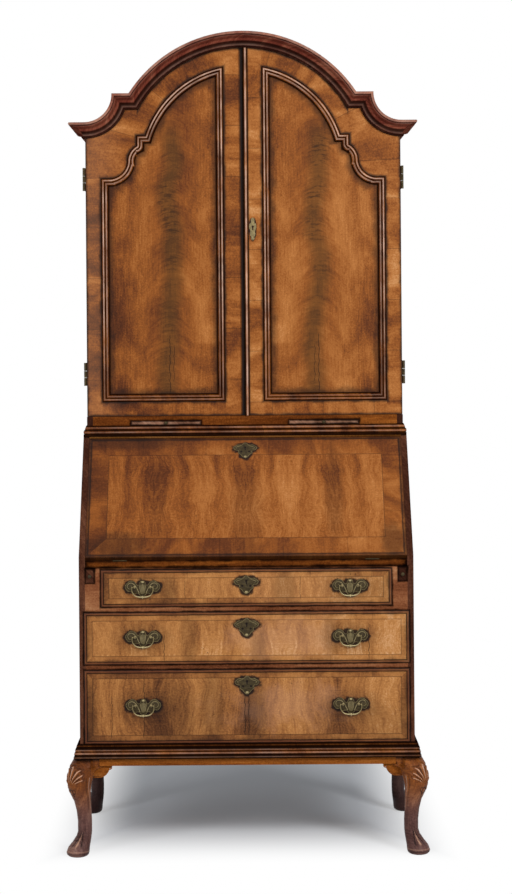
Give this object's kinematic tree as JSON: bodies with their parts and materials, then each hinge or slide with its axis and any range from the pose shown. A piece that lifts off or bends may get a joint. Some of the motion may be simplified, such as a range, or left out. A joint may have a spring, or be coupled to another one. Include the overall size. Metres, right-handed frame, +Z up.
{
  "type": "bureau bookcase",
  "caption": "Walnut bureau bookcase on cabriole legs: a sloping writing fall over long drawers, and arched panelled doors under a shaped cornice.",
  "frame": {"origin": "centre of the footprint at floor level", "axes": "+Z up, +X to the viewer's right, the front faces -Y"},
  "size_m": [0.9404, 0.5584, 2.1681],
  "materials": {
    "banded_walnut_veneer": "old polished, warm mid-brown with darker crossbanding",
    "flame_walnut_veneer": "old polished, book-matched flame figure",
    "case_walnut": "old polished",
    "plain_walnut": "old polished",
    "moulding_walnut": "old polished, dark in the hollows",
    "cornice_walnut": "old polished, reddish dark",
    "stand_walnut": "old polished, dark brown",
    "oak_lining": "dry, unpolished",
    "patinated_brass": "patinated"
  },
  "bodies": {
    "case": {"leg_front_left": "stand_walnut", "leg_back_left": "stand_walnut", "leg_front_right": "stand_walnut", "leg_back_right": "stand_walnut", "stand_rails": "stand_walnut", "knee_brackets": "stand_walnut", "stand_moulding": "moulding_walnut", "bureau_side_left": "case_walnut", "bureau_side_right": "case_walnut", "bureau_bottom": "oak_lining", "bureau_back": "oak_lining", "bureau_top": "case_walnut", "drawer_framing": "plain_walnut", "writing_board": "plain_walnut", "pigeonhole_unit": "plain_walnut", "waist_moulding": "moulding_walnut", "bookcase_side_left": "case_walnut", "bookcase_side_right": "case_walnut", "bookcase_bottom": "plain_walnut", "bookcase_back": "oak_lining", "bookcase_roof": "oak_lining", "shelves": "plain_walnut", "cornice": "cornice_walnut", "case_hinges": "patinated_brass"},
    "loper_left": {"loper_left": "plain_walnut", "loper_left_knob": "patinated_brass"},
    "loper_right": {"loper_right": "plain_walnut", "loper_right_knob": "patinated_brass"},
    "fall": {"fall_board": "banded_walnut_veneer", "fall_brasses": "patinated_brass"},
    "drawer_bottom": {"drawer_bottom_front": "banded_walnut_veneer", "drawer_bottom_box": "oak_lining", "drawer_bottom_brasses": "patinated_brass"},
    "drawer_bottom_bail_left": {"drawer_bottom_bail_left": "patinated_brass"},
    "drawer_bottom_bail_right": {"drawer_bottom_bail_right": "patinated_brass"},
    "drawer_middle": {"drawer_middle_front": "banded_walnut_veneer", "drawer_middle_box": "oak_lining", "drawer_middle_brasses": "patinated_brass"},
    "drawer_middle_bail_left": {"drawer_middle_bail_left": "patinated_brass"},
    "drawer_middle_bail_right": {"drawer_middle_bail_right": "patinated_brass"},
    "drawer_top": {"drawer_top_front": "banded_walnut_veneer", "drawer_top_box": "oak_lining", "drawer_top_brasses": "patinated_brass"},
    "drawer_top_bail_left": {"drawer_top_bail_left": "patinated_brass"},
    "drawer_top_bail_right": {"drawer_top_bail_right": "patinated_brass"},
    "small_drawer_left": {"small_drawer_left": "plain_walnut"},
    "small_drawer_right": {"small_drawer_right": "plain_walnut"},
    "candle_slide_left": {"candle_slide_left": "plain_walnut", "candle_slide_left_knob": "patinated_brass"},
    "candle_slide_right": {"candle_slide_right": "plain_walnut", "candle_slide_right_knob": "patinated_brass"},
    "door_left": {"door_left_frame": "banded_walnut_veneer", "door_left_panel": "flame_walnut_veneer", "door_left_moulding": "moulding_walnut", "door_left_brasses": "patinated_brass"},
    "door_right": {"door_right_frame": "banded_walnut_veneer", "door_right_panel": "flame_walnut_veneer", "door_right_moulding": "moulding_walnut", "door_astragal": "moulding_walnut", "door_right_brasses": "patinated_brass"}
  },
  "joints": [
    {"name": "door_left_hinge", "type": "hinge", "parent": "case", "child": "door_left", "pos_m": [-0.43, -0.045, 1.51], "axis": [0, 0, -1], "range_deg": [0, 170]},
    {"name": "door_right_hinge", "type": "hinge", "parent": "case", "child": "door_right", "pos_m": [0.43, -0.045, 1.51], "axis": [0, 0, 1], "range_deg": [0, 170]},
    {"name": "fall_hinge", "type": "hinge", "parent": "case", "child": "fall", "pos_m": [0, -0.22917, 0.765], "axis": [1, 0, 0], "range_deg": [0, 123.6]},
    {"name": "loper_left_slide", "type": "slide", "parent": "case", "child": "loper_left", "axis": [0, -1, 0], "range_m": [0, 0.25]},
    {"name": "loper_right_slide", "type": "slide", "parent": "case", "child": "loper_right", "axis": [0, -1, 0], "range_m": [0, 0.25]},
    {"name": "candle_slide_left_slide", "type": "slide", "parent": "case", "child": "candle_slide_left", "axis": [0, -1, 0], "range_m": [0, 0.15]},
    {"name": "candle_slide_right_slide", "type": "slide", "parent": "case", "child": "candle_slide_right", "axis": [0, -1, 0], "range_m": [0, 0.15]},
    {"name": "drawer_bottom_slide", "type": "slide", "parent": "case", "child": "drawer_bottom", "axis": [0, -1, 0], "range_m": [0, 0.34]},
    {"name": "drawer_middle_slide", "type": "slide", "parent": "case", "child": "drawer_middle", "axis": [0, -1, 0], "range_m": [0, 0.34]},
    {"name": "drawer_top_slide", "type": "slide", "parent": "case", "child": "drawer_top", "axis": [0, -1, 0], "range_m": [0, 0.34]},
    {"name": "small_drawer_left_slide", "type": "slide", "parent": "case", "child": "small_drawer_left", "axis": [0, -1, 0], "range_m": [0, 0.13]},
    {"name": "small_drawer_right_slide", "type": "slide", "parent": "case", "child": "small_drawer_right", "axis": [0, -1, 0], "range_m": [0, 0.13]},
    {"name": "drawer_bottom_bail_left_hinge", "type": "hinge", "parent": "drawer_bottom", "child": "drawer_bottom_bail_left", "pos_m": [-0.27, -0.2593, 0.3899], "axis": [-1, 0, 0], "range_deg": [0, 90]},
    {"name": "drawer_bottom_bail_right_hinge", "type": "hinge", "parent": "drawer_bottom", "child": "drawer_bottom_bail_right", "pos_m": [0.27, -0.2593, 0.3899], "axis": [-1, 0, 0], "range_deg": [0, 90]},
    {"name": "drawer_middle_bail_left_hinge", "type": "hinge", "parent": "drawer_middle", "child": "drawer_middle_bail_left", "pos_m": [-0.27, -0.2593, 0.5679], "axis": [-1, 0, 0], "range_deg": [0, 90]},
    {"name": "drawer_middle_bail_right_hinge", "type": "hinge", "parent": "drawer_middle", "child": "drawer_middle_bail_right", "pos_m": [0.27, -0.2593, 0.5679], "axis": [-1, 0, 0], "range_deg": [0, 90]},
    {"name": "drawer_top_bail_left_hinge", "type": "hinge", "parent": "drawer_top", "child": "drawer_top_bail_left", "pos_m": [-0.27, -0.2593, 0.6984], "axis": [-1, 0, 0], "range_deg": [0, 90]},
    {"name": "drawer_top_bail_right_hinge", "type": "hinge", "parent": "drawer_top", "child": "drawer_top_bail_right", "pos_m": [0.27, -0.2593, 0.6984], "axis": [-1, 0, 0], "range_deg": [0, 90]}
  ]
}
